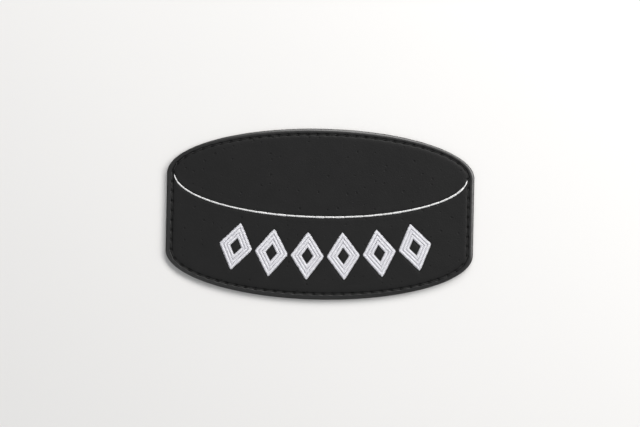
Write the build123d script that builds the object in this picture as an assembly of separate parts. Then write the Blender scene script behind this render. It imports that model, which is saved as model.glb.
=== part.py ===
from build123d import *
import math
import os

# A flat embroidered patch in the outline of a puck drawn at a slant. Two vinyl panels are sewn together
# round the edge with a stabilizer between them. A white stitched arc marks the front rim of the puck's
# top, and six satin-stitched lozenges stand in a row on its side.
#
# It lies on its back face: +X along the width, +Y towards the puck's top, +Z out of the front face.
# The origin is the middle of the back face. Sizes are in millimetres.

# Outline: straight sides joined by two elliptic caps
HALF_WIDTH = 49.0
CAP_RISE = 15.0
SIDE_LENGTH = 24.48

# Layers, from the back face up
BACK_VINYL = 0.45
BACK_KNIT = 0.40
STABILIZER = 0.25
FRONT_KNIT = 0.35
FRONT_VINYL = 0.45
FRONT_EDGE_RADIUS = 0.30

# Edge seam: a running stitch through every layer
SEAM_INSET = 1.8
SEAM_PITCH = 3.1
SEAM_WIDTH = 0.36
SEAM_HEIGHT = 0.34
SEAM_SINK = 0.30
SEAM_BOBBIN_WIDTH = 0.30
SEAM_BOBBIN_HEIGHT = 0.24

# Rim line: a triple stitch through the front panel and the stabilizer
RIM_TUCK = 0.5
RIM_PITCH = 3.07
RIM_WIDTH = 0.52
RIM_HEIGHT = 0.40
RIM_SINK = 0.12

# Needle and thread
LEG_RADIUS = 0.13
LEG_GAP = 0.28
BAR_OVERHANG = 0.02
BOBBIN_HEIGHT = 0.12
CLEARANCE = 0.03

# Lozenges, on an arc whose lowest point is below the rim line
LOZENGE_COUNT = 6
LOZENGE_HALF_WIDTH = 5.1
LOZENGE_HALF_HEIGHT = 7.45
LOZENGE_PITCH = 11.5
ROW_RADIUS = 135.0
ROW_LOW_Y = -13.45
ROW_SHIFT = 1.93

# Satin: each side of a lozenge is three columns of stitches, side by side over an underlay
COLUMN_COUNT = 3
COLUMN_PITCH = 0.92
COLUMN_GROOVE = 0.06
SATIN_BASE = 0.24
SATIN_HEIGHT = 0.50
COLUMN_BEVEL = 0.18
SATIN_WALL = 0.24
SATIN_LEG_RADIUS = 0.10
UNDERLAY_HEIGHT = 0.12

# Heights that follow from the layers
BACK_KNIT_Z = BACK_VINYL
STABILIZER_Z = BACK_KNIT_Z + BACK_KNIT
FRONT_KNIT_Z = STABILIZER_Z + STABILIZER
FRONT_VINYL_Z = FRONT_KNIT_Z + FRONT_KNIT
FACE_Z = FRONT_VINYL_Z + FRONT_VINYL
SEAM_LOCK_Z = STABILIZER_Z + STABILIZER / 2
CAP_CENTRE = SIDE_LENGTH / 2

# Sizes that follow from the thread: two legs side by side in each needle hole
LEG_SHIFT = LEG_GAP / 2 + LEG_RADIUS
NEEDLE_RADIUS = LEG_SHIFT + LEG_RADIUS + CLEARANCE
BAR_END_GAP = LEG_GAP / 2 - BAR_OVERHANG
SATIN_LEG_INSET = (COLUMN_GROOVE + SATIN_WALL) / 2
HOLLOW_INSET = COLUMN_GROOVE / 2 + SATIN_WALL


def puck_wire(half_width, cap_rise):
    """The closed outline: a top cap, a straight side, a bottom cap and the other side."""
    top = EllipticalCenterArc((0, CAP_CENTRE), half_width, cap_rise, 0, arc_size=180)
    bottom = EllipticalCenterArc((0, -CAP_CENTRE), half_width, cap_rise, 180, arc_size=180)
    left = Line(top @ 1, bottom @ 0)
    right = Line(bottom @ 1, top @ 0)
    return Wire([top, left, bottom, right])


def rim_wire():
    """The front half of the puck's top ellipse, ending just inside the edge seam."""
    half_width = HALF_WIDTH - SEAM_INSET - RIM_TUCK
    arc = EllipticalCenterArc((0, CAP_CENTRE), half_width, CAP_RISE - SEAM_INSET, 180, arc_size=180)
    return Wire([arc])


def stitch_pairs(path, pitch, closed):
    """The start and end of each stitch along a path, evenly spaced at about the pitch."""
    count = round(path.length / pitch)
    steps = [path.length * i / count for i in range(count + 1)]
    points = [path.position_at(step, position_mode=PositionMode.LENGTH) for step in steps]
    if closed:
        points[-1] = points[0]
    return list(zip(points[:-1], points[1:]))


def stitch_plane(pair, height):
    """The plane of one stitch: its X runs from the first needle hole to the second."""
    start, end = pair
    direction = end - start
    return Plane(origin=(start.X, start.Y, height), x_dir=direction, z_dir=(0, 0, 1)), direction.length


def stitches(pairs, width, height, low, lock):
    """Thread between needle holes: one bar for each stitch, rounded on its outer side, with two legs."""
    solids = []
    for pair in pairs:
        plane, length = stitch_plane(pair, low)
        reach = lock - low - height / 2
        bar = Box(length - 2 * BAR_END_GAP, width, height)
        outer_edges = bar.edges().filter_by(Axis.X).sort_by(Axis.Z, reverse=reach < 0)[:2]
        bar = fillet(outer_edges, min(height, width) / 3)
        leg = Cylinder(LEG_RADIUS, abs(reach))
        legs = [Pos(x, 0, height / 2 + reach / 2) * leg for x in (LEG_SHIFT, length - LEG_SHIFT)]
        solids.append(plane * (Pos(length / 2, 0, height / 2) * bar + legs))
    return solids


def furrow(pairs, width):
    """The face that a run of stitches presses into the vinyl, rounded at each needle hole."""
    slots = []
    for pair in pairs:
        plane, length = stitch_plane(pair, 0)
        slots.append(plane * Pos(length / 2, 0) * SlotCenterToCenter(length, width))
    return Sketch() + slots


def needle_holes(pairs):
    """One round hole at each end of every stitch, without repeats."""
    ends = {(round(p.X, 6), round(p.Y, 6)) for pair in pairs for p in pair}
    return [Pos(x, y) * Circle(NEEDLE_RADIUS) for x, y in sorted(ends)]


def lozenge_inradius():
    """The distance from a lozenge's centre to each of its sides."""
    half_w, half_h = LOZENGE_HALF_WIDTH, LOZENGE_HALF_HEIGHT
    return half_w * half_h / math.hypot(half_w, half_h)


def lozenge_point(inradius, place):
    """A point on one side of the lozenge with this inradius: place 0 is its side tip and 1 its top tip."""
    scale = inradius / lozenge_inradius()
    return (1 - place) * scale * LOZENGE_HALF_WIDTH, place * scale * LOZENGE_HALF_HEIGHT


def lozenge_ring(grow):
    """The footprint of a whole hollow lozenge, grown or shrunk at both of its outlines."""
    outer = lozenge_inradius()
    inner = outer - COLUMN_COUNT * COLUMN_PITCH
    faces = []
    for inradius in (outer + grow, inner - grow):
        right, top = lozenge_point(inradius, 0)[0], lozenge_point(inradius, 1)[1]
        faces.append(make_face(Polyline((right, 0), (0, top), (-right, 0), (0, -top), close=True)))
    return faces[0] - faces[1]


def column_radii():
    """The outer and inner inradius of each ring of columns."""
    outer = lozenge_inradius()
    return [(outer - i * COLUMN_PITCH, outer - (i + 1) * COLUMN_PITCH) for i in range(COLUMN_COUNT)]


def column_face(radii, inset):
    """One satin column's footprint, mitred at both tips and drawn in by the inset."""
    outer, inner = radii
    ends = [(outer, 0), (outer, 1), (inner, 1), (inner, 0)]
    corners = [lozenge_point(inradius, place) for inradius, place in ends]
    return offset(make_face(Polyline(*corners, close=True)), -inset, kind=Kind.INTERSECTION)


def quarters(shape):
    """The shape in all four quarters of the lozenge."""
    right = [shape, mirror(shape, Plane.XZ)]
    return right + [mirror(part, Plane.YZ) for part in right]


def satin_leg_points(radii):
    """Where the satin stitches of one column go through the front panel."""
    outer, inner = radii
    return [lozenge_point(row, 0.5) for row in (outer - SATIN_LEG_INSET, inner + SATIN_LEG_INSET)]


def underlay_leg_point(radii):
    """Where the underlay of one column goes through the front panel."""
    return lozenge_point(sum(radii) / 2, 0.5)


def lozenge_leg(point, height):
    """A leg of embroidery thread from the underside of the stabilizer to a height above the face."""
    length = FACE_Z + height - STABILIZER_Z
    base = Pos(point[0], point[1], STABILIZER_Z - FACE_Z)
    return base * Cylinder(SATIN_LEG_RADIUS, length, align=(Align.CENTER, Align.CENTER, Align.MIN))


def lozenge_satin():
    """The satin of one lozenge: crowned columns on a joined base, hollow below, with legs to the bobbin."""
    parts, hollows = [], []
    for radii in column_radii():
        column = extrude(column_face(radii, COLUMN_GROOVE / 2), SATIN_HEIGHT)
        parts += quarters(chamfer(column.faces().sort_by(Axis.Z)[-1].edges(), COLUMN_BEVEL))
        for point in satin_leg_points(radii):
            parts += quarters(lozenge_leg(point, SATIN_BASE / 2))
        hollows += quarters(extrude(column_face(radii, HOLLOW_INSET), UNDERLAY_HEIGHT + CLEARANCE))
    satin = extrude(lozenge_ring(-COLUMN_GROOVE / 2), SATIN_BASE) + parts - hollows
    return [Pos(0, 0, FACE_Z) * satin]


def lozenge_underlay():
    """The underlay strips of one lozenge, each with one leg to the bobbin."""
    solids = []
    for radii in column_radii():
        strip = extrude(column_face(radii, HOLLOW_INSET + CLEARANCE), UNDERLAY_HEIGHT)
        strip += lozenge_leg(underlay_leg_point(radii), UNDERLAY_HEIGHT / 2)
        solids += quarters(Pos(0, 0, FACE_Z) * strip)
    return solids


def lozenge_bobbin():
    """The lower thread of one lozenge, a thin ring against the underside of the stabilizer."""
    ring = extrude(lozenge_ring(-COLUMN_GROOVE / 2), BOBBIN_HEIGHT)
    return [Pos(0, 0, STABILIZER_Z - BOBBIN_HEIGHT) * ring]


def lozenge_holes():
    """The needle holes of one lozenge."""
    hole = Circle(SATIN_LEG_RADIUS + CLEARANCE)
    holes = []
    for radii in column_radii():
        for x, y in satin_leg_points(radii) + [underlay_leg_point(radii)]:
            holes += quarters(Pos(x, y) * hole)
    return holes


def lozenge_places():
    """Where each lozenge stands on its arc, tilted with it."""
    places = []
    for i in range(LOZENGE_COUNT):
        along = ROW_SHIFT + (i - (LOZENGE_COUNT - 1) / 2) * LOZENGE_PITCH
        angle = along / ROW_RADIUS
        x = ROW_RADIUS * math.sin(angle)
        y = ROW_LOW_Y + ROW_RADIUS * (1 - math.cos(angle))
        places.append(Pos(x, y) * Rot(0, 0, math.degrees(angle)))
    return places


def layer(low, thickness, holes):
    """One full layer of the stack, pierced by the needle."""
    return Pos(0, 0, low) * extrude(OUTLINE - holes, thickness)


def write(node, shapes):
    """Write one node, as one solid or as a group of separate solids."""
    solids = [solid for shape in shapes for solid in shape.solids()]
    export_step(solids[0] if len(solids) == 1 else Compound(children=solids), f"parts/{node}.step")


OUTLINE = make_face(puck_wire(HALF_WIDTH, CAP_RISE))
SEAM_PAIRS = stitch_pairs(puck_wire(HALF_WIDTH - SEAM_INSET, CAP_RISE - SEAM_INSET), SEAM_PITCH, True)
RIM_PAIRS = stitch_pairs(rim_wire(), RIM_PITCH, False)
PLACES = lozenge_places()

os.makedirs("parts", exist_ok=True)

# Needle holes: the edge seam goes through every layer, the embroidery stops at the back panel
seam_holes = needle_holes(SEAM_PAIRS)
front_holes = seam_holes + needle_holes(RIM_PAIRS)
front_holes += [place * hole for place in PLACES for hole in lozenge_holes()]

# Front panel
skin = extrude(OUTLINE, FRONT_VINYL)
skin = fillet(skin.faces().sort_by(Axis.Z)[-1].edges(), FRONT_EDGE_RADIUS)
skin = Pos(0, 0, FRONT_VINYL_Z) * (skin - extrude(Sketch() + front_holes, FRONT_VINYL))
seam_furrow = furrow(SEAM_PAIRS, SEAM_WIDTH + 2 * CLEARANCE)
rim_furrow = furrow(RIM_PAIRS, RIM_WIDTH + 2 * CLEARANCE)
skin -= Pos(0, 0, FACE_Z - SEAM_SINK) * extrude(seam_furrow, SEAM_SINK)
skin -= Pos(0, 0, FACE_Z - RIM_SINK) * extrude(rim_furrow, RIM_SINK)
write("front_vinyl_skin", [skin])
write("front_knit_backing", [layer(FRONT_KNIT_Z, FRONT_KNIT, front_holes)])
write("stabilizer", [layer(STABILIZER_Z, STABILIZER, front_holes)])

# Back panel: pressed in where the bobbin threads lie
pocket_depth = BOBBIN_HEIGHT + CLEARANCE
pockets = [place * lozenge_ring(CLEARANCE) for place in PLACES] + [rim_furrow]
knit = layer(BACK_KNIT_Z, BACK_KNIT, seam_holes)
knit -= Pos(0, 0, STABILIZER_Z - pocket_depth) * extrude(Sketch() + pockets, pocket_depth)
write("back_knit_backing", [knit])
back_furrow_depth = SEAM_BOBBIN_HEIGHT + 2 * CLEARANCE
back_furrow = extrude(furrow(SEAM_PAIRS, SEAM_BOBBIN_WIDTH + 2 * CLEARANCE), back_furrow_depth)
write("back_vinyl_skin", [layer(0, BACK_VINYL, seam_holes) - back_furrow])

# Stitching
seam_top = stitches(SEAM_PAIRS, SEAM_WIDTH, SEAM_HEIGHT, FACE_Z - SEAM_SINK, SEAM_LOCK_Z)
write("edge_seam_top_thread", seam_top)
seam_bobbin = stitches(SEAM_PAIRS, SEAM_BOBBIN_WIDTH, SEAM_BOBBIN_HEIGHT, CLEARANCE, SEAM_LOCK_Z)
write("edge_seam_bobbin_thread", seam_bobbin)
write("rim_line_top_thread", stitches(RIM_PAIRS, RIM_WIDTH, RIM_HEIGHT, FACE_Z - RIM_SINK, STABILIZER_Z))
rim_bobbin_z = STABILIZER_Z - BOBBIN_HEIGHT
write("rim_line_bobbin_thread", stitches(RIM_PAIRS, RIM_WIDTH, BOBBIN_HEIGHT, rim_bobbin_z, STABILIZER_Z))

# Lozenges
satin, underlay, bobbin = lozenge_satin(), lozenge_underlay(), lozenge_bobbin()
for number, place in enumerate(PLACES, start=1):
    write(f"lozenge_{number}_satin", [place * solid for solid in satin])
    write(f"lozenge_{number}_underlay", [place * solid for solid in underlay])
    write(f"lozenge_{number}_bobbin", [place * solid for solid in bobbin])
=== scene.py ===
import math
import random

import bmesh
import bpy
from mathutils import Matrix, Vector, kdtree, noise


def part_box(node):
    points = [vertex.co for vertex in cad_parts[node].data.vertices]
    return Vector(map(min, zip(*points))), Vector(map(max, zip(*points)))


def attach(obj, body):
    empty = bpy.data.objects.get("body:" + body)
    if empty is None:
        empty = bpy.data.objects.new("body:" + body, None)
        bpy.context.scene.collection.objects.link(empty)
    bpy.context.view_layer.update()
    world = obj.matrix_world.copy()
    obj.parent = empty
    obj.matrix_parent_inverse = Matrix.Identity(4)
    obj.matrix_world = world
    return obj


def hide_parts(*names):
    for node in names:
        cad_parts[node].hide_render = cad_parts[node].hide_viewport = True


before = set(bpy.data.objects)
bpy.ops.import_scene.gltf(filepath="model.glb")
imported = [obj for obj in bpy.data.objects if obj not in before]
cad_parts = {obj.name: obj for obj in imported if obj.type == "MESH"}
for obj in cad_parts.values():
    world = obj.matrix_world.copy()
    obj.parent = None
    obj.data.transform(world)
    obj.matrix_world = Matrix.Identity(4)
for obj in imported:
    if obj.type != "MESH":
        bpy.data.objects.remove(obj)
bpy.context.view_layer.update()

# A flat embroidered patch: two vinyl panels sewn together round the edge, a white stitched rim line
# and six satin lozenges. Lengths are worked out in millimetres and every mesh is scaled to metres once.
MM = 0.001


# ---------------------------------------------------------------------------------------------------
# Driving dimensions
# ---------------------------------------------------------------------------------------------------

def node_box(node):
    """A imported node's lowest and highest corner, in millimetres."""
    return tuple(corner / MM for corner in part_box(node))


HALF_WIDTH = node_box("front_vinyl_skin")[1].x
HALF_HEIGHT = node_box("front_vinyl_skin")[1].y
FACE_Z = node_box("front_vinyl_skin")[1].z
CAP_RISE = 15.0
CAP_CENTRE = HALF_HEIGHT - CAP_RISE

# Edge seam
SEAM_INSET = 1.8
SEAM_PITCH = 3.1
SEAM_THREAD = 0.36
SEAM_DIVE = 0.60          # how far a stitch goes down at its ends
SEAM_LIFT = 0.02          # how much higher or lower a stitch may lie
BOBBIN_THREAD = 0.28
BOBBIN_DIVE = 0.35
BOBBIN_REST = 0.03        # from the table up to the lower thread

# Rim line
RIM_TUCK = 0.5
RIM_PITCH = 3.07
RIM_STRAND = 0.31
RIM_SPREAD = 0.125        # how far the two lower strands bow apart
RIM_BED = 0.08            # how deep the line lies in the face
RIM_DIVE = 0.36
RIM_TOP_DIVE = 0.48
RIM_TOP_BOW = 0.03
RIM_TOP_LIFT = 0.15       # how far the third strand rides on the other two
RIM_LIFT = 0.015          # how much higher or lower a strand may lie
RIM_END_GAP = 0.12        # share of the first and last stitch left out
RIM_END_DIVE = 0.42       # how far the two ends of the line go down into the skin
RIM_END_SPREAD = 0.7      # share of the bow that the first and last stitch keep

# Lozenge row
LOZENGE_COUNT = 6
LOZENGE_HALF_WIDTH = 5.1
LOZENGE_HALF_HEIGHT = 7.45
LOZENGE_PITCH = 11.5
ROW_RADIUS = 135.0
ROW_LOW_Y = -13.45
ROW_SHIFT = 1.93

# Satin
COLUMN_COUNT = 3
COLUMN_PITCH = 0.92
COLUMN_GAP = 0.19         # between two columns of stitches
MITRE_LAP = 0.12          # how far the stitches of two sides lap at a tip
SATIN_SPACING = 0.25
SATIN_THREAD = 0.31
SATIN_RISE = 0.52
SATIN_START = 0.28        # share of the rise that is below a stitch's own bed
SATIN_BED = 0.06          # how deep that bed lies in the face
SATIN_SLANT = 0.28        # how far a stitch slants, as a share of the spacing
SATIN_RAGGED = 0.14       # how far a stitch may stick out of the outer outline
SATIN_UNEVEN = 0.03       # how far the end of an inner stitch may stray
SHORTEST_SATIN = 0.12     # a stitch shorter than this is left out

# How the sewing shapes the sandwich of layers
SEAM_SQUEEZE = 0.075      # share of the height that is lost under the seam
SEAM_SQUEEZE_WIDTH = 0.85
EDGE_SQUEEZE = 0.29       # share of the height that is lost at the cut edge
EDGE_ROLL = 1.65          # how far in the edge starts to roll down
EDGE_ROUND = 0.17         # radius of the cut edge
EDGE_FLATNESS = 0.8       # height of that radius over its width
GROOVE_DEPTH = 0.25       # the seam's groove, and the dimple at each of its holes
GROOVE_WIDTH = 0.24
HOLE_DEPTH = 0.50
HOLE_LENGTH = 0.50
HOLE_WIDTH = 0.32
FURROW_DEPTH = 0.11       # the rim line's furrow, and the rise beside it
FURROW_WIDTH = 0.42
RIM_HOLE_DEPTH = 0.10
RIM_HOLE_WIDTH = 0.35
PUFF_HEIGHT = 0.035
PUFF_OFF = 1.15
PUFF_WIDTH = 0.6
PULL_DEPTH = 0.13         # how the satin pulls the film in
PULL_WIDTH = 0.55
PULL_REACH = (1.5, 1.4)   # how far that is worked out, in half widths and half heights
RIM_FADE = (0.2, 0.5)     # where the furrow starts inside the seam, and over how far it deepens
BACK_GROOVE_DEPTH = 0.30  # the same on the back, and how its cut edge lifts off the table
BACK_GROOVE_WIDTH = 0.24
BACK_HOLE_DEPTH = 0.10
BACK_HOLE_LENGTH = 0.25
BACK_HOLE_WIDTH = 0.3
BACK_EDGE_LIFT = 0.12
BACK_EDGE_ROLL = 0.5
PANEL_START = 2.5         # how far inside the seam the front panel starts to wave
BEND_INSETS = (0.45, 0.9, 1.35, SEAM_INSET, 2.4, 3.4)   # where the flat inner faces bend
INNER_SETBACK = 0.06      # how far the inner layers stop short of the cut edge
BOBBIN_ROOM = 0.16        # how far the back knit gives way to the threads above it
FAR_OFF = 9.0             # a place on the rim map that is far from the rim line
ROW_CROWDING = 0.7        # how strongly the face's rows crowd towards its edge


# ---------------------------------------------------------------------------------------------------
# Paths
# ---------------------------------------------------------------------------------------------------

def cap_point(inset, turn, side):
    """A point on the top cap (side 1) or bottom cap (side -1) of the outline drawn in by an inset."""
    x = (HALF_WIDTH - inset) * math.cos(turn)
    y = side * (CAP_CENTRE + (CAP_RISE - inset) * math.sin(turn))
    return Vector((x, y))


def puck_path(inset, steps=720):
    """The closed outline drawn in by an inset, as points from the right side round by the top."""
    top = [cap_point(inset, math.pi * i / steps, 1) for i in range(steps + 1)]
    bottom = [cap_point(inset, math.pi * (1 - i / steps), -1) for i in range(steps + 1)]
    return top + bottom + top[:1]


def rim_path(steps=720):
    """The front half of the puck's top ellipse."""
    half_width = HALF_WIDTH - SEAM_INSET - RIM_TUCK
    rise = CAP_RISE - SEAM_INSET
    turns = [math.pi * (1 + i / steps) for i in range(steps + 1)]
    return [Vector((half_width * math.cos(t), CAP_CENTRE + rise * math.sin(t))) for t in turns]


def path_lengths(path):
    """The distance along a path at each of its points."""
    lengths = [0.0]
    for start, end in zip(path[:-1], path[1:]):
        lengths.append(lengths[-1] + (end - start).length)
    return lengths


def even_points(path, count):
    """Points at even steps along a path, from its start to its end."""
    lengths = path_lengths(path)
    points, k = [], 0
    for i in range(count + 1):
        target = lengths[-1] * i / count
        while k < len(path) - 2 and lengths[k + 1] < target:
            k += 1
        share = (target - lengths[k]) / max(lengths[k + 1] - lengths[k], 1e-9)
        points.append(path[k].lerp(path[k + 1], min(max(share, 0.0), 1.0)))
    return points


def stitch_count(path, pitch):
    """How many stitches of about a pitch fit along a path."""
    return round(path_lengths(path)[-1] / pitch)


SEAM_PATH = puck_path(SEAM_INSET)
SEAM_COUNT = stitch_count(SEAM_PATH, SEAM_PITCH)
SEAM_POINTS = even_points(SEAM_PATH, SEAM_COUNT)
RIM_PATH = rim_path()
RIM_COUNT = stitch_count(RIM_PATH, RIM_PITCH)
RIM_POINTS = even_points(RIM_PATH, RIM_COUNT)


class Track:
    """Finds how far along a path, in stitches, and how far off it a point is."""

    SAMPLES_PER_STITCH = 60

    def __init__(self, path, count, closed):
        self.count = count
        self.closed = closed
        self.points = even_points(path, count * self.SAMPLES_PER_STITCH)
        self.tree = kdtree.KDTree(len(self.points))
        for i, point in enumerate(self.points):
            self.tree.insert(point.to_3d(), i)
        self.tree.balance()

    def find(self, x, y):
        """(stitches along, millimetres off); the second is positive to the left of the path."""
        point, i, distance = self.tree.find(Vector((x, y, 0)))
        ahead = self.points[min(i + 1, len(self.points) - 1)] - self.points[max(i - 1, 0)]
        off = Vector((x, y)) - point.to_2d()
        side = 1 if ahead.x * off.y - ahead.y * off.x > 0 else -1
        return i / self.SAMPLES_PER_STITCH, side * distance

    def spot(self, along, off):
        """The point at a number of stitches along the path and millimetres to its left."""
        i = min(max(along * self.SAMPLES_PER_STITCH, 0.0), len(self.points) - 1.001)
        start, end = self.points[int(i)], self.points[int(i) + 1]
        ahead = (end - start).normalized()
        return start.lerp(end, i - int(i)) + Vector((-ahead.y, ahead.x)) * off


SEAM_TRACK = Track(SEAM_PATH, SEAM_COUNT, True)
RIM_TRACK = Track(RIM_PATH, RIM_COUNT, False)


def lozenge_places():
    """Where each lozenge stands on its arc, tilted with it."""
    places = []
    for i in range(LOZENGE_COUNT):
        angle = (ROW_SHIFT + (i - (LOZENGE_COUNT - 1) / 2) * LOZENGE_PITCH) / ROW_RADIUS
        x = ROW_RADIUS * math.sin(angle)
        y = ROW_LOW_Y + ROW_RADIUS * (1 - math.cos(angle))
        places.append(Matrix.Translation((x, y, 0)) @ Matrix.Rotation(angle, 4, "Z"))
    return places


LOZENGES = lozenge_places()
LOZENGES_BACK = [place.inverted() for place in LOZENGES]
LOZENGE_SIDE = math.hypot(LOZENGE_HALF_WIDTH, LOZENGE_HALF_HEIGHT)
LOZENGE_INRADIUS = LOZENGE_HALF_WIDTH * LOZENGE_HALF_HEIGHT / LOZENGE_SIDE
LOZENGE_HOLE = LOZENGE_INRADIUS - COLUMN_COUNT * COLUMN_PITCH


# ---------------------------------------------------------------------------------------------------
# The shape of the panels
# ---------------------------------------------------------------------------------------------------

def bump(distance, width):
    """A smooth bump, 1 at no distance."""
    return math.exp(-(distance / width) ** 2)


def squeeze(depth):
    """How much of its full height the sandwich keeps, at a depth inside the cut edge."""
    kept = 1 - SEAM_SQUEEZE * bump(depth - SEAM_INSET, SEAM_SQUEEZE_WIDTH)
    if depth < EDGE_ROLL:
        kept -= EDGE_SQUEEZE * (1 - depth / EDGE_ROLL) ** 2
    return kept


def from_hole(along, pitch):
    """The distance along a line of stitches from the nearest needle hole."""
    return (along - round(along)) * pitch


def seam_press(along, off):
    """How far the seam presses the vinyl in: a groove, deeper at each needle hole."""
    hole = HOLE_DEPTH * bump(from_hole(along, SEAM_PITCH), HOLE_LENGTH) * bump(off, HOLE_WIDTH)
    return GROOVE_DEPTH * bump(off, GROOVE_WIDTH) + hole


def rim_press(along, off):
    """How the rim line lies in a shallow furrow, with the vinyl puffed up beside it."""
    if min(along, RIM_COUNT - along) <= 0:
        return 0.0
    run = from_hole(along, RIM_PITCH)
    furrow = FURROW_DEPTH * bump(off, FURROW_WIDTH)
    furrow += RIM_HOLE_DEPTH * bump(math.hypot(run, off), RIM_HOLE_WIDTH)
    lower_by_a_hole = 1.3 - bump(run, 0.8)
    return furrow - PUFF_HEIGHT * bump(abs(off) - PUFF_OFF, PUFF_WIDTH) * lower_by_a_hole


def lozenge_press(x, y):
    """How the satin pulls the vinyl in round each lozenge and lets it puff up in the middle."""
    for back in LOZENGES_BACK:
        local = back @ Vector((x, y, 0))
        right, up = abs(local.x) / LOZENGE_HALF_WIDTH, abs(local.y) / LOZENGE_HALF_HEIGHT
        if right > PULL_REACH[0] or up > PULL_REACH[1]:
            continue
        inradius = (right + up) * LOZENGE_INRADIUS
        outside = max(inradius - LOZENGE_INRADIUS, 0.0)
        inside = max(LOZENGE_HOLE - inradius, 0.0)
        return PULL_DEPTH * bump(outside + inside, PULL_WIDTH)
    return 0.0


def unevenness(x, y):
    """The slight waviness of a panel that isn't quite flat: broad swells and small ones."""
    broad = noise.noise(Vector((x / 11, y / 9, 3.1)))
    small = noise.noise(Vector((x / 3, y / 3, 8)))
    return 0.030 * broad + 0.010 * small


def edge_depth(seam_off):
    """The depth inside the cut edge, from how far a point lies inside the seam."""
    return max(seam_off + SEAM_INSET, 0.0)


def front_height(x, y, seam, rim):
    """The height of the front face, from where a point is on the plan, the seam and the rim line."""
    along, off = seam
    z = FACE_Z * squeeze(edge_depth(off)) - seam_press(along, off)
    if off > PANEL_START:
        z += unevenness(x, y) - lozenge_press(x, y)
    start, span = RIM_FADE
    if off > start:
        z -= rim_press(*rim) * min((off - start) / span, 1.0)
    return z


def back_height(x, y, seam, rim):
    """The height of the back face: flat on the table, pressed in along the seam."""
    along, off = seam
    hole = bump(from_hole(along, SEAM_PITCH), BACK_HOLE_LENGTH) * bump(off, BACK_HOLE_WIDTH)
    z = BACK_GROOVE_DEPTH * bump(off, BACK_GROOVE_WIDTH) + BACK_HOLE_DEPTH * hole
    depth = edge_depth(off)
    if depth < BACK_EDGE_ROLL:
        z += BACK_EDGE_LIFT * (1 - depth / BACK_EDGE_ROLL) ** 2
    return z


# ---------------------------------------------------------------------------------------------------
# Making pieces
# ---------------------------------------------------------------------------------------------------

def make_piece(name, bm, material, node):
    """Turn a bmesh in millimetres into a finished piece of the object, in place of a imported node."""
    bmesh.ops.recalc_face_normals(bm, faces=bm.faces)
    bmesh.ops.scale(bm, vec=(MM, MM, MM), verts=bm.verts)
    mesh = bpy.data.meshes.new(name)
    bm.to_mesh(mesh)
    bm.free()
    mesh.polygons.foreach_set("use_smooth", [True] * len(mesh.polygons))
    mesh.materials.append(material)
    piece = bpy.data.objects.new(name, mesh)
    bpy.context.scene.collection.objects.link(piece)
    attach(piece, "root")
    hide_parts(node)
    return piece


def spot_key(vert):
    """A vertex's place as a key, to find again the vertex that a new one was extruded from."""
    return tuple(round(c, 6) for c in vert.co)


def extrude_open(bm, edges):
    """Extrude a ring of open edges, and return the new vertices and the new open edges."""
    grown = bmesh.ops.extrude_edge_only(bm, edges=edges)["geom"]
    verts = [item for item in grown if isinstance(item, bmesh.types.BMVert)]
    return verts, [item for item in grown if isinstance(item, bmesh.types.BMEdge) and item.is_boundary]


def grid_place(u, v, inset):
    """Where a point of the unit square lies on the panel drawn in by an inset; rows crowd at the edge."""
    turn = u * math.pi / 2
    half = CAP_CENTRE + (CAP_RISE - inset) * math.cos(turn)
    crowd = v + ROW_CROWDING * math.sin(math.pi * v) / math.pi
    return (HALF_WIDTH - inset) * math.sin(turn), half * crowd


def ring_of(bm, ring, marks, inset, z):
    """Extrude a panel's open edge ring to a new inset and height, and return the new ring's edges."""
    verts, ring = extrude_open(bm, ring)
    for vert in verts:
        u, v = marks[spot_key(vert)]
        x, y = grid_place(u, v, inset)
        vert.co = Vector((x, y, z))
        marks[spot_key(vert)] = (u, v)
    return ring


def map_face(bm, tracks):
    """Map a panel's face along and across the seam and the rim line, in stitches and millimetres."""
    for name, k, track in (("seam", 0, SEAM_TRACK), ("rim", 1, RIM_TRACK)):
        layer = bm.loops.layers.uv.new(name)
        for face in bm.faces:
            spots = [tracks[loop.vert.index][k] for loop in face.loops]
            far = max(along for along, off in spots)
            for loop, (along, off) in zip(face.loops, spots):
                wrap = track.count if track.closed and far - along > track.count / 2 else 0
                loop[layer].uv = (along + wrap, off)


def skin(name, height_at, other_z, node):
    """A vinyl skin: a fine shaped face, a cut edge, and a plain inner face that follows the squeeze."""
    bm = bmesh.new()
    bmesh.ops.create_grid(bm, x_segments=440, y_segments=150, size=1)
    marks, tracks = {}, {}
    for vert in bm.verts:
        u, v = vert.co.x, vert.co.y
        x, y = grid_place(u, v, EDGE_ROUND)
        seam, rim = SEAM_TRACK.find(x, y), RIM_TRACK.find(x, y)
        vert.co = Vector((x, y, height_at(x, y, seam, rim)))
        tracks[vert.index] = (seam, rim)
        if vert.is_boundary:
            marks[spot_key(vert)] = (u, v)
    map_face(bm, tracks)
    face_grid = set(bm.faces)
    ring = [edge for edge in bm.edges if edge.is_boundary]
    x, y = grid_place(0, 1, EDGE_ROUND)
    face_z = height_at(x, y, SEAM_TRACK.find(x, y), RIM_TRACK.find(x, y))
    inward = 1 if other_z > face_z else -1
    for share in (0.25, 0.5, 0.75, 1.0):
        turn = share * math.pi / 2
        drop = EDGE_ROUND * EDGE_FLATNESS * (1 - math.cos(turn))
        ring = ring_of(bm, ring, marks, EDGE_ROUND * (1 - math.sin(turn)), face_z + inward * drop)
    for inset in (0.0, *BEND_INSETS):
        ring = ring_of(bm, ring, marks, inset, other_z * squeeze(inset))
    bmesh.ops.edgeloop_fill(bm, edges=ring)
    seam_layer, rim_layer = bm.loops.layers.uv["seam"], bm.loops.layers.uv["rim"]
    for face in set(bm.faces) - face_grid:
        for loop in face.loops:
            loop[seam_layer].uv = (0.5, -SEAM_INSET)
            loop[rim_layer].uv = (0.5, FAR_OFF)
    return make_piece(name, bm, VINYL, node)


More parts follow.
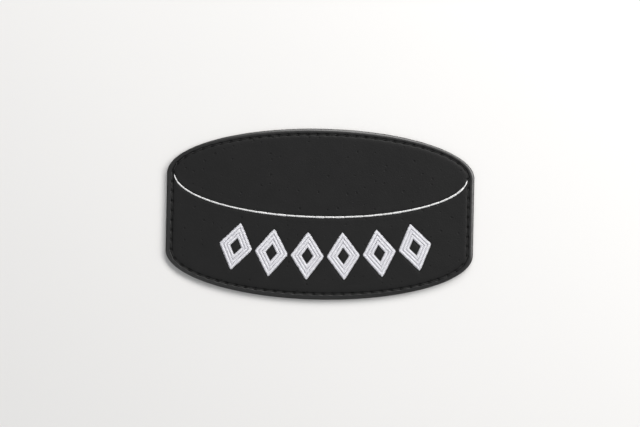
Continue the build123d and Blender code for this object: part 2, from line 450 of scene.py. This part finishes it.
def inner_layer(name, node, material, give=0.0):
    """A layer inside the sandwich: two faces that follow the squeeze, joined round the cut edge."""
    low_z, high_z = (corner.z for corner in node_box(node))
    insets = (*reversed(BEND_INSETS), INNER_SETBACK)
    profile = [(inset, high_z * squeeze(inset) - (give if inset > SEAM_INSET else 0)) for inset in insets]
    profile += [(inset, low_z * squeeze(inset)) for inset in reversed(insets)]
    bm = bmesh.new()
    verts = bmesh.ops.create_circle(bm, segments=480, radius=1)["verts"]
    turns = {vert: math.atan2(vert.co.y, vert.co.x) for vert in verts}
    edges = list(bm.edges)
    bmesh.ops.edgeloop_fill(bm, edges=edges)
    lay_ring(turns, *profile[0])
    for inset, z in profile[1:]:
        old = {spot_key(vert): turn for vert, turn in turns.items()}
        verts, edges = extrude_open(bm, edges)
        turns = {vert: old[spot_key(vert)] for vert in verts}
        lay_ring(turns, inset, z)
    bmesh.ops.edgeloop_fill(bm, edges=edges)
    return make_piece(name, bm, material, node)


def lay_ring(turns, inset, z):
    """Lay a ring of points on the outline drawn in by an inset, at one height."""
    share = CAP_CENTRE / (CAP_CENTRE + HALF_WIDTH)
    for vert, turn in turns.items():
        side = 1 if turn >= 0 else -1
        part = abs(turn) / math.pi
        straight = share / 2
        if part < straight:
            x, y = HALF_WIDTH - inset, CAP_CENTRE * part / straight
        elif part > 1 - straight:
            x, y = -(HALF_WIDTH - inset), CAP_CENTRE * (1 - part) / straight
        else:
            cap = math.pi * (part - straight) / (1 - 2 * straight)
            x = (HALF_WIDTH - inset) * math.cos(cap)
            y = CAP_CENTRE + (CAP_RISE - inset) * math.sin(cap)
        vert.co = Vector((x, side * y, z))


def tube(bm, route, across, up, stations, sides=6, step=0.01):
    """Add a closed tube along route(t) with an elliptic section, mapped along (u) and around (v)."""
    layer = bm.loops.layers.uv.verify()
    old_faces = set(bm.faces)
    ring = bmesh.ops.create_circle(bm, segments=sides, radius=1)["verts"]
    edges = list(dict.fromkeys(edge for vert in ring for edge in vert.link_edges))
    spot = {vert: (0.0, math.atan2(vert.co.y, vert.co.x) / math.tau % 1.0) for vert in ring}
    first_edges, was = edges, Matrix.Identity(4)
    for i in range(stations + 1):
        t = i / stations
        if i:
            angles = {spot_key(vert): spot[vert][1] for vert in ring}
            ring, edges = extrude_open(bm, edges)
            for vert in ring:
                spot[vert] = (t, angles[spot_key(vert)])
        ahead = (Vector(route(min(t + step, 1.0))) - Vector(route(max(t - step, 0.0)))).normalized()
        sideways = Vector((0, 0, 1)).cross(ahead).normalized()
        over = ahead.cross(sideways)
        turned = Matrix((sideways * across, over * up, ahead)).transposed().to_4x4()
        now = Matrix.Translation(route(t)) @ turned
        bmesh.ops.transform(bm, matrix=now @ was.inverted(), verts=ring)
        was = now
    bmesh.ops.edgeloop_fill(bm, edges=first_edges)
    bmesh.ops.edgeloop_fill(bm, edges=edges)
    for face in set(bm.faces) - old_faces:
        turns = [spot[loop.vert][1] for loop in face.loops]
        for loop in face.loops:
            t, turn = spot[loop.vert]
            loop[layer].uv = (t, turn + (1.0 if max(turns) - turn > 0.5 else 0.0))


def template(build):
    """A small mesh made once and then copied into many places."""
    bm = bmesh.new()
    build(bm)
    bmesh.ops.recalc_face_normals(bm, faces=bm.faces)
    mesh = bpy.data.meshes.new("template")
    bm.to_mesh(mesh)
    bm.free()
    return mesh


def add_copy(bm, mesh, matrix):
    """Add a copy of a template to a bmesh, placed by a matrix."""
    placed = mesh.copy()
    placed.transform(matrix)
    bm.from_mesh(placed)
    bpy.data.meshes.remove(placed)


def between(start, end, z, width=1.0, height=1.0):
    """The matrix that lays a unit-long template from one point to another at a height."""
    ahead = end - start
    turn = Matrix.Rotation(math.atan2(ahead.y, ahead.x), 4, "Z")
    size = Matrix.Diagonal((ahead.length, width, height, 1))
    return Matrix.Translation((start.x, start.y, z)) @ turn @ size


# ---------------------------------------------------------------------------------------------------
# Shader groups
# ---------------------------------------------------------------------------------------------------

class Graph:
    """Adds and links shader nodes in a tree. An input is a number, a colour or another node's output."""

    def __init__(self, tree):
        self.tree = tree

    def add(self, kind, inputs=None, **settings):
        node = self.tree.nodes.new(kind)
        for key, value in settings.items():
            setattr(node, key, value)
        for key, value in (inputs or {}).items():
            self.put(node.inputs[key], value)
        return node

    def put(self, socket, value):
        """Link another node's output to a socket, or set the socket's own value."""
        if isinstance(value, bpy.types.NodeSocket):
            self.tree.links.new(value, socket)
        else:
            socket.default_value = value

    def math(self, operation, a, b=0.0, clamp=False):
        return self.add("ShaderNodeMath", {0: a, 1: b}, operation=operation, use_clamp=clamp).outputs[0]

    def noise(self, vector, scale, detail=2.0, roughness=0.5):
        values = {"Vector": vector, "Scale": scale, "Detail": detail, "Roughness": roughness}
        return self.add("ShaderNodeTexNoise", values).outputs["Fac"]

    def ramp(self, value, low, high):
        """0 at the low value and 1 at the high one, which may be the smaller of the two."""
        values = {"Value": value, "From Min": low, "From Max": high}
        return self.add("ShaderNodeMapRange", values, clamp=True).outputs["Result"]

    def mix(self, factor, a, b):
        """A colour mix; sockets 6, 7 and output 2 are the Mix node's colour sockets."""
        node = self.add("ShaderNodeMix", {"Factor": factor, 6: a, 7: b}, data_type="RGBA")
        return node.outputs[2]


def shader_group(name, inputs, outputs):
    """An empty node group with float and vector inputs and float outputs."""
    tree = bpy.data.node_groups.new(name, "ShaderNodeTree")
    for key, value in inputs.items():
        kind = "NodeSocketVector" if value is None else "NodeSocketFloat"
        socket = tree.interface.new_socket(name=key, in_out="INPUT", socket_type=kind)
        if value is not None:
            socket.default_value = value
    for key in outputs:
        tree.interface.new_socket(name=key, in_out="OUTPUT", socket_type="NodeSocketFloat")
    graph = Graph(tree)
    return graph, graph.add("NodeGroupInput").outputs, graph.add("NodeGroupOutput").inputs


def leather_grain_group():
    """Embossed leather grain: pebbles with creases between them, and sparse pores."""
    graph, given, put = shader_group(
        "leather_grain", {"Vector": None, "Pebble": 2400.0, "Pore": 260.0}, ("Height", "Pores", "Mottle")
    )
    wobble = graph.add("ShaderNodeTexNoise", {"Vector": given["Vector"], "Scale": 900.0, "Detail": 2.0})
    values = {0: wobble.outputs["Color"], 1: (0.0009,) * 3}
    shift = graph.add("ShaderNodeVectorMath", values, operation="MULTIPLY")
    warped = graph.add("ShaderNodeVectorMath", {0: given["Vector"], 1: shift.outputs[0]}).outputs[0]
    cells = graph.add(
        "ShaderNodeTexVoronoi", {"Vector": warped, "Scale": given["Pebble"]}, feature="SMOOTH_F1"
    ).outputs["Distance"]
    fine = graph.noise(given["Vector"], 5200.0, 3.0)
    broad = graph.noise(given["Vector"], 500.0, 3.0)
    values = {"Vector": warped, "Scale": given["Pore"]}
    pore_cells = graph.add("ShaderNodeTexVoronoi", values, voronoi_dimensions="2D")
    chance = graph.add("ShaderNodeSeparateColor", {0: pore_cells.outputs["Color"]}).outputs
    radius = graph.math("MULTIPLY", graph.ramp(chance[0], 0.3, 1.0), 0.16)
    pores = graph.ramp(graph.math("SUBTRACT", pore_cells.outputs["Distance"], radius), 0.0, -0.07)
    height = graph.math("SUBTRACT", graph.math("MULTIPLY", fine, 0.35), graph.math("MULTIPLY", cells, 0.9))
    height = graph.math("ADD", height, graph.math("MULTIPLY", broad, 1.1))
    graph.put(put["Height"], height)
    graph.put(put["Pores"], pores)
    graph.put(put["Mottle"], graph.noise(given["Vector"], 160.0, 4.0, 0.6))
    return graph.tree


def stitch_marks_group():
    """Marks along a line of stitches: needle holes at whole stitches and a pressed line between them."""
    graph, given, put = shader_group(
        "stitch_marks", {"Vector": None, "Pitch": 3.1, "Hole": 0.3, "Line": 0.3}, ("Holes", "Pressed")
    )
    parts = graph.add("ShaderNodeSeparateXYZ", {0: given["Vector"]}).outputs
    nearest = graph.math("ROUND", parts[0])
    along = graph.math("MULTIPLY", graph.math("SUBTRACT", parts[0], nearest), given["Pitch"])
    along_squared = graph.math("MULTIPLY", along, along)
    off_squared = graph.math("MULTIPLY", parts[1], parts[1])
    distance = graph.math("SQRT", graph.math("ADD", along_squared, off_squared))
    ratio = graph.math("DIVIDE", distance, given["Hole"])
    graph.put(put["Holes"], graph.ramp(ratio, 1.0, 0.45))
    off = graph.math("DIVIDE", graph.math("ABSOLUTE", parts[1]), given["Line"])
    graph.put(put["Pressed"], graph.ramp(off, 1.0, 0.3))
    return graph.tree


def thread_twist_group():
    """Plied thread: slanting plies that run along it (u) and around it (v), with fine filaments."""
    graph, given, put = shader_group(
        "thread_twist", {"Vector": None, "Turns": 6.0, "Plies": 3.0}, ("Height", "Grooves")
    )
    parts = graph.add("ShaderNodeSeparateXYZ", {0: given["Vector"]}).outputs
    run = graph.math("MULTIPLY", parts[0], given["Turns"])
    around = graph.math("MULTIPLY", parts[1], given["Plies"])
    phase = graph.math("MULTIPLY", graph.math("ADD", run, around), math.tau)
    wave = graph.math("MULTIPLY", graph.math("ADD", graph.math("SINE", phase), 1.0), 0.5)
    filaments = graph.math("SINE", graph.math("MULTIPLY", phase, 5.0))
    height = graph.math("ADD", graph.math("POWER", wave, 0.5), graph.math("MULTIPLY", filaments, 0.06))
    graph.put(put["Height"], height)
    graph.put(put["Grooves"], graph.ramp(wave, 0.35, 0.0))
    return graph.tree


def cloth_fibre_group():
    """Fine cloth fibres: a knit of small loops crossed by loose hairs."""
    graph, given, put = shader_group(
        "cloth_fibre", {"Vector": None, "Loops": 2200.0, "Hair": 3000.0}, ("Height", "Shade")
    )
    values = {"Vector": given["Vector"], "Scale": given["Loops"], "Distortion": 2.0}
    across = graph.add("ShaderNodeTexWave", values)
    squash = graph.add("ShaderNodeMapping", {"Vector": given["Vector"], "Scale": (0.25, 1.0, 1.0)}).outputs[0]
    hair = graph.noise(squash, given["Hair"], 4.0, 0.65)
    height = graph.math("ADD", graph.math("MULTIPLY", across.outputs["Fac"], 0.6), hair)
    graph.put(put["Height"], height)
    graph.put(put["Shade"], graph.ramp(height, 0.45, 1.25))
    return graph.tree


GRAIN = leather_grain_group()
MARKS = stitch_marks_group()
TWIST = thread_twist_group()
FIBRE = cloth_fibre_group()


# ---------------------------------------------------------------------------------------------------
# Materials
# ---------------------------------------------------------------------------------------------------

def new_material(name):
    """A material with only an output and a Principled shader, which are returned with its graph."""
    material = bpy.data.materials.new(name)
    material.use_nodes = True
    material.node_tree.nodes.clear()
    graph = Graph(material.node_tree)
    shader = graph.add("ShaderNodeBsdfPrincipled")
    output = graph.add("ShaderNodeOutputMaterial")
    graph.put(output.inputs["Surface"], shader.outputs[0])
    return material, graph, shader


def use_group(graph, tree, inputs):
    """Place a shader group and return its outputs."""
    node = graph.add("ShaderNodeGroup", node_tree=tree)
    for key, value in inputs.items():
        graph.put(node.inputs[key], value)
    return node.outputs


def bumped(graph, height, distance, strength):
    """A Bump node's normal, with its distance in metres."""
    values = {"Height": height, "Distance": distance, "Strength": strength}
    return graph.add("ShaderNodeBump", values).outputs["Normal"]


def vinyl_material():
    """Black faux leather: fine grain and pores, pressed and pierced along the seam and the rim line, with
    painted shade in its pores, needle holes and seam groove, and a lighter margin that is partly rubbed wear
    and partly painted sheen.
    """
    material, graph, shader = new_material("black_faux_leather")
    spot = graph.add("ShaderNodeTexCoord").outputs["Object"]
    grain = use_group(graph, GRAIN, {"Vector": spot, "Pebble": 2300.0, "Pore": 330.0})
    seam_map = graph.add("ShaderNodeUVMap", uv_map="seam").outputs[0]
    rim_map = graph.add("ShaderNodeUVMap", uv_map="rim").outputs[0]
    long_holes = SEAM_PITCH * 0.6
    seam = use_group(graph, MARKS, {"Vector": seam_map, "Pitch": long_holes, "Hole": 0.42, "Line": 0.40})
    rim = use_group(graph, MARKS, {"Vector": rim_map, "Pitch": RIM_PITCH, "Hole": 0.40, "Line": 0.50})
    depth = graph.math("ADD", graph.add("ShaderNodeSeparateXYZ", {0: seam_map}).outputs[1], SEAM_INSET)
    rolled = graph.ramp(depth, SEAM_INSET, 0.4)
    inside_rim = graph.ramp(depth, 0.05, 0.3)
    pores = graph.math("SUBTRACT", grain["Pores"], rolled, True)
    tone = graph.mix(grain["Mottle"], (0.0044, 0.0044, 0.0045, 1), (0.0078, 0.0078, 0.0079, 1))
    # Painted shade: the pores are painted near black, as the shade inside the pits.
    tone = graph.mix(graph.math("MULTIPLY", pores, 0.9), tone, (0.001, 0.001, 0.001, 1))
    # Painted shade: the seam's pressed groove is painted darker.
    tone = graph.mix(graph.math("MULTIPLY", seam["Pressed"], 0.35), tone, (0.004, 0.004, 0.004, 1))
    # Painted shade: the needle holes of the seam and the rim line are painted nearly black.
    tone = graph.mix(graph.math("MAXIMUM", seam["Holes"], rim["Holes"]), tone, (0.0005, 0.0005, 0.0005, 1))
    # Partly rubbed wear and partly painted sheen: the margin just inside the cut edge is painted lighter in
    # patches.
    edge_wear_and_sheen = graph.math("MULTIPLY", graph.ramp(depth, 0.9, 0.4), graph.ramp(grain["Mottle"], 0.2, 0.7))
    edge_wear_and_sheen = graph.math("MULTIPLY", edge_wear_and_sheen, inside_rim)
    tone = graph.mix(graph.math("MULTIPLY", edge_wear_and_sheen, 0.6), tone, (0.035, 0.034, 0.033, 1))
    graph.put(shader.inputs["Base Color"], tone)
    rough = graph.math("ADD", graph.math("MULTIPLY", grain["Mottle"], 0.10), 0.47)
    rough = graph.math("SUBTRACT", rough, graph.math("MULTIPLY", rolled, 0.15))
    rough = graph.math("ADD", rough, graph.math("MULTIPLY", pores, 0.2), True)
    graph.put(shader.inputs["Roughness"], rough)
    shader.inputs["Specular IOR Level"].default_value = 0.25
    polish = graph.math("MULTIPLY", rolled, inside_rim)
    graph.put(shader.inputs["Coat Weight"], graph.math("MULTIPLY", polish, 0.95))
    shader.inputs["Coat Roughness"].default_value = 0.28
    height = graph.math("SUBTRACT", grain["Height"], graph.math("MULTIPLY", pores, 1.6))
    height = graph.math("SUBTRACT", height, graph.math("MULTIPLY", seam["Holes"], 1.5))
    graph.put(shader.inputs["Normal"], bumped(graph, height, 0.00005, 0.65))
    return material


def thread_material(name, dark, light, rough, sheen):
    """Embroidery thread: plies twisted along each stitch, with painted shade in the grooves between them, and
    a silky sheen.
    """
    material, graph, shader = new_material(name)
    spot = graph.add("ShaderNodeTexCoord").outputs["Object"]
    lay = graph.add("ShaderNodeUVMap").outputs[0]
    twist = use_group(graph, TWIST, {"Vector": lay, "Turns": 5.0, "Plies": 2.0})
    patchy = graph.noise(spot, 1300.0, 2.0)
    tone = graph.mix(graph.ramp(patchy, 0.3, 0.7), dark, light)
    # Painted shade: the grooves between the plies are painted at half the dark tone.
    shadow = (*(c * 0.5 for c in dark[:3]), 1)
    tone = graph.mix(graph.math("MULTIPLY", twist["Grooves"], 0.45), tone, shadow)
    graph.put(shader.inputs["Base Color"], tone)
    graph.put(shader.inputs["Roughness"], graph.math("ADD", graph.math("MULTIPLY", patchy, 0.15), rough))
    shader.inputs["Sheen Weight"].default_value = sheen
    shader.inputs["Sheen Roughness"].default_value = 0.35
    shader.inputs["Specular IOR Level"].default_value = 0.5
    graph.put(shader.inputs["Normal"], bumped(graph, twist["Height"], 0.00004, 0.7))
    return material


def cloth_material(name, dark, light, loops, hair):
    """A cloth layer seen at the cut edge and inside: fibres in two tones."""
    material, graph, shader = new_material(name)
    spot = graph.add("ShaderNodeTexCoord").outputs["Object"]
    fibre = use_group(graph, FIBRE, {"Vector": spot, "Loops": loops, "Hair": hair})
    graph.put(shader.inputs["Base Color"], graph.mix(fibre["Shade"], dark, light))
    graph.put(shader.inputs["Roughness"], graph.ramp(fibre["Shade"], -1.5, 1.2))
    shader.inputs["Sheen Weight"].default_value = 0.2
    graph.put(shader.inputs["Normal"], bumped(graph, fibre["Height"], 0.00006, 0.8))
    return material


def floor_material():
    """The plain pale table."""
    material, graph, shader = new_material("pale_table")
    spot = graph.add("ShaderNodeTexCoord").outputs["Object"]
    soft = graph.noise(spot, 6.0, 3.0)
    graph.put(shader.inputs["Base Color"], graph.mix(soft, (0.75, 0.744, 0.738, 1), (0.775, 0.769, 0.762, 1)))
    shader.inputs["Roughness"].default_value = 0.85
    shader.inputs["Specular IOR Level"].default_value = 0.2
    return material


VINYL = vinyl_material()
BLACK_THREAD = thread_material("black_thread", (0.003, 0.003, 0.003, 1), (0.006, 0.006, 0.006, 1), 0.6, 0.0)
WHITE_THREAD = thread_material("white_thread", (0.66, 0.655, 0.71, 1), (0.86, 0.86, 0.89, 1), 0.42, 0.15)
RIM_THREAD = thread_material("bright_white_thread", (0.88, 0.88, 0.88, 1), (0.95, 0.95, 0.95, 1), 0.40, 0.35)
KNIT = cloth_material("grey_knit", (0.05, 0.05, 0.052, 1), (0.14, 0.14, 0.145, 1), 1500.0, 2600.0)
NONWOVEN = cloth_material("white_nonwoven", (0.55, 0.55, 0.53, 1), (0.86, 0.86, 0.84, 1), 400.0, 3200.0)
HIDDEN_THREAD = cloth_material(
    "white_thread_inner", (0.62, 0.62, 0.67, 1), (0.84, 0.84, 0.88, 1), 900.0, 4200.0
)


# ---------------------------------------------------------------------------------------------------
# The layers
# ---------------------------------------------------------------------------------------------------


def make_layers():
    """The two vinyl skins, their knit backings and the stabilizer between them, from the back up."""
    back_top = node_box("back_vinyl_skin")[1].z
    front_low = node_box("front_vinyl_skin")[0].z
    layers = [
        skin("back_skin", back_height, back_top, "back_vinyl_skin"),
        inner_layer("back_knit", "back_knit_backing", KNIT, BOBBIN_ROOM),
        inner_layer("stabilizer_sheet", "stabilizer", NONWOVEN),
        inner_layer("front_knit", "front_knit_backing", KNIT),
        skin("front_skin", front_height, front_low, "front_vinyl_skin"),
    ]


# ---------------------------------------------------------------------------------------------------
# Stitching
# ---------------------------------------------------------------------------------------------------

def arch(t, fullness):
    """The height of a stitch along its length: flat on top and steep where it dives into its holes."""
    return max(1 - abs(2 * t - 1) ** fullness, 0.0) ** (1 / fullness)


def plied_stitch(diameter, dive, bow=0.0, turns=2.5, fullness=4.0, phase=0.0, short=-0.01):
    """A unit-long stitch of two twisted plies that dives at both ends, may bow and may stop short."""
    def build(bm):
        for ply in (0, 1):
            def route(t, ply=ply):
                twist = math.tau * (turns * t + ply / 2) + phase
                height = dive * (arch(t, fullness) - 1)
                y = bow * arch(t, 5.0) + diameter / 4 * math.cos(twist)
                return (1 - 2 * short) * t + short, y, height + diameter / 4 * math.sin(twist)
            tube(bm, route, diameter / 4, diameter / 4, 20)
    return template(build)


def make_edge_seam():
    """The black running stitch round the edge, front and back."""
    random.seed(11)
    top = plied_stitch(SEAM_THREAD, SEAM_DIVE, fullness=2.0, short=0.03)
    bottom = plied_stitch(BOBBIN_THREAD, -BOBBIN_DIVE)
    groove_z = FACE_Z * (1 - SEAM_SQUEEZE) - GROOVE_DEPTH + SEAM_THREAD / 2
    front, back = bmesh.new(), bmesh.new()
    for start, end in zip(SEAM_POINTS[:-1], SEAM_POINTS[1:]):
        lift = random.uniform(-SEAM_LIFT, SEAM_LIFT)
        add_copy(front, top, between(start, end, groove_z + lift))
        add_copy(back, bottom, between(start, end, BOBBIN_THREAD / 2 + BOBBIN_REST))
    make_piece("edge_seam_top", front, BLACK_THREAD, "edge_seam_top_thread")
    make_piece("edge_seam_bobbin", back, BLACK_THREAD, "edge_seam_bobbin_thread")


def between_ends(ends, t):
    """The value a share t of the way between two ends."""
    return ends[0] + (ends[1] - ends[0]) * t


def add_bent(bm, mesh, track, span, sway, heights):
    """Add a copy of a unit-long stitch bent along a track, between two places and two heights on it."""
    placed = mesh.copy()
    for vert in placed.vertices:
        t = vert.co.x
        point = track.spot(between_ends(span, t), vert.co.y * sway)
        vert.co = Vector((point.x, point.y, between_ends(heights, t) + vert.co.z))
    bm.from_mesh(placed)
    bpy.data.meshes.remove(placed)


def make_rim_line():
    """The white triple stitch: three strands in every needle step, one of them riding on the others."""
    random.seed(23)
    shape = {"fullness": 3.0, "short": 0.01}
    strands = [
        (plied_stitch(RIM_STRAND, RIM_DIVE, RIM_SPREAD, phase=0.4, **shape), 0.0),
        (plied_stitch(RIM_STRAND, RIM_DIVE, -RIM_SPREAD, phase=2.1, **shape), 0.0),
        (plied_stitch(RIM_STRAND, RIM_TOP_DIVE, RIM_TOP_BOW, turns=2.0, phase=3.9, **shape), RIM_TOP_LIFT),
    ]
    bm = bmesh.new()
    base = FACE_Z - RIM_BED + RIM_STRAND / 2
    for number in range(RIM_COUNT):
        first, last = number == 0, number == RIM_COUNT - 1
        span = (number + RIM_END_GAP * first, number + 1 - RIM_END_GAP * last)
        spread = RIM_END_SPREAD if first or last else 1.0
        for mesh, lift in strands:
            z = base + lift + random.uniform(-RIM_LIFT, RIM_LIFT)
            sway = random.uniform(0.85, 1.15) * spread
            add_bent(bm, mesh, RIM_TRACK, span, sway, (z - RIM_END_DIVE * first, z - RIM_END_DIVE * last))
    make_piece("rim_line_top", bm, RIM_THREAD, "rim_line_top_thread")


def satin_template():
    """One satin stitch, unit long, wide and high: a soft arch with its ends below the face."""
    def build(bm):
        def route(t):
            return t, 0.0, arch(t, 2.1) - SATIN_START
        tube(bm, route, 0.5, 0.32, 8)
    return template(build)


def lozenge_spot(radius, along, quarter):
    """A point of one lozenge side, from its distance to the middle and how far along the side it is."""
    out = Vector((LOZENGE_HALF_HEIGHT, LOZENGE_HALF_WIDTH)) / LOZENGE_SIDE
    side = Vector((-LOZENGE_HALF_WIDTH, LOZENGE_HALF_HEIGHT)) / LOZENGE_SIDE
    spot = out * radius + side * along
    return Vector((spot.x * quarter[0], spot.y * quarter[1]))


def satin_lines():
    """Each satin stitch of one lozenge side: its two ends, where it is along the side, and its number.

    The ends are distances from the middle. Near a tip the stitch ends at the mitre with the next side.
    """
    foot = LOZENGE_HALF_WIDTH ** 2 / LOZENGE_SIDE ** 2
    reach = LOZENGE_SIDE / LOZENGE_INRADIUS
    lines = []
    for column in range(COLUMN_COUNT):
        outer = LOZENGE_INRADIUS - column * COLUMN_PITCH
        inner = outer - COLUMN_PITCH
        low, high = -foot * reach * outer, (1 - foot) * reach * outer
        count = round((high - low) / SATIN_SPACING)
        for i in range(count):
            along = low + (i + 0.5) * (high - low) / count
            mitre = along / ((1 - foot) * reach) if along > 0 else -along / (foot * reach)
            lines.append((outer, max(inner + COLUMN_GAP, mitre - MITRE_LAP), along, i))
    return lines


def make_lozenge(number, place, stitch):
    """The satin of one lozenge: every stitch is its own thread, slanting a little back and forth."""
    random.seed(100 + number)
    bm = bmesh.new()
    for quarter in ((1, 1), (-1, 1), (-1, -1), (1, -1)):
        for outer, inner, along, i in satin_lines():
            length = outer - inner
            if length < SHORTEST_SATIN:
                continue
            fullness = min(length / COLUMN_PITCH, 1)
            slant = SATIN_SPACING * SATIN_SLANT * (1 if i % 2 else -1) * fullness
            low = 0.0 if outer == LOZENGE_INRADIUS else -SATIN_UNEVEN
            high = SATIN_RAGGED if outer == LOZENGE_INRADIUS else SATIN_UNEVEN
            start = lozenge_spot(outer + random.uniform(low, high), along + slant, quarter)
            end = lozenge_spot(inner, along - slant, quarter)
            start, end = ((place @ spot.to_3d()).to_2d() for spot in (start, end))
            rise = SATIN_RISE * (0.6 + 0.4 * fullness) * random.uniform(0.95, 1.05)
            thread = SATIN_THREAD * random.uniform(0.93, 1.07)
            add_copy(bm, stitch, between(start, end, FACE_Z - SATIN_BED, thread, rise))
    make_piece(f"lozenge_{number}", bm, WHITE_THREAD, f"lozenge_{number}_satin")


def make_lozenges():
    """The whole row."""
    stitch = satin_template()
    for number, place in enumerate(LOZENGES, start=1):
        make_lozenge(number, place, stitch)


def finish_hidden_threads():
    """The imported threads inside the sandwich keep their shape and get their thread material."""
    for name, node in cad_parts.items():
        if name.endswith(("_underlay", "_bobbin")) or name == "rim_line_bobbin_thread":
            node.data.materials.clear()
            node.data.materials.append(HIDDEN_THREAD)


# ---------------------------------------------------------------------------------------------------
# Stage, light and camera
# ---------------------------------------------------------------------------------------------------

def make_floor():
    """A plain table top, just below the patch."""
    bm = bmesh.new()
    bmesh.ops.create_grid(bm, x_segments=2, y_segments=2, size=1.2)
    mesh = bpy.data.meshes.new("table")
    bm.to_mesh(mesh)
    bm.free()
    table = bpy.data.objects.new("table", mesh)
    table.location.z = -0.02 * MM
    mesh.materials.append(floor_material())
    bpy.context.scene.collection.objects.link(table)


def soft_light(name, place, width, height, power, tint):
    """A rectangular area light aimed at the patch, its width level with the table."""
    data = bpy.data.lights.new(name, "AREA")
    data.shape = "RECTANGLE"
    data.size = width
    data.size_y = height
    data.energy = power
    data.color = tint
    lamp = bpy.data.objects.new(name, data)
    lamp.location = place
    lamp.rotation_euler = (-Vector(place)).to_track_quat("-Z", "Y").to_euler()
    bpy.context.scene.collection.objects.link(lamp)


def make_light():
    """A long strip from the upper right, a weak fill from the left, and pale surroundings, in metres."""
    soft_light("key", (0.38, 0.42, 0.49), 1.3, 0.32, 9.6, (1.0, 0.99, 0.975))
    soft_light("fill", (-0.3, -0.2, 0.75), 0.6, 0.6, 0.7, (0.97, 0.985, 1.0))
    world = bpy.data.worlds.new("surroundings")
    world.use_nodes = True
    background = world.node_tree.nodes["Background"]
    background.inputs["Color"].default_value = (0.98, 0.99, 1.0, 1)
    background.inputs["Strength"].default_value = 0.36
    bpy.context.scene.world = world


def make_camera():
    """A long lens straight above the patch, turned by about a degree."""
    view_width = 203.9 * MM
    distance = 0.70
    above_middle = 0.22 * MM
    camera = bpy.data.cameras.new("camera")
    camera.sensor_width = 36.0
    camera.lens = camera.sensor_width * distance / view_width
    holder = bpy.data.objects.new("camera", camera)
    holder.location = (0, above_middle, distance + FACE_Z * MM)
    holder.rotation_euler = (0, 0, math.radians(1.17))
    bpy.context.scene.collection.objects.link(holder)
    bpy.context.scene.camera = holder


make_camera()
make_layers()
make_edge_seam()
make_rim_line()
make_lozenges()
finish_hidden_threads()
make_floor()
make_light()
bpy.context.scene.view_settings.view_transform = "Standard"

# The stitch templates have been copied into the pieces
for mesh in [m for m in bpy.data.meshes if m.users == 0]:
    bpy.data.meshes.remove(mesh)
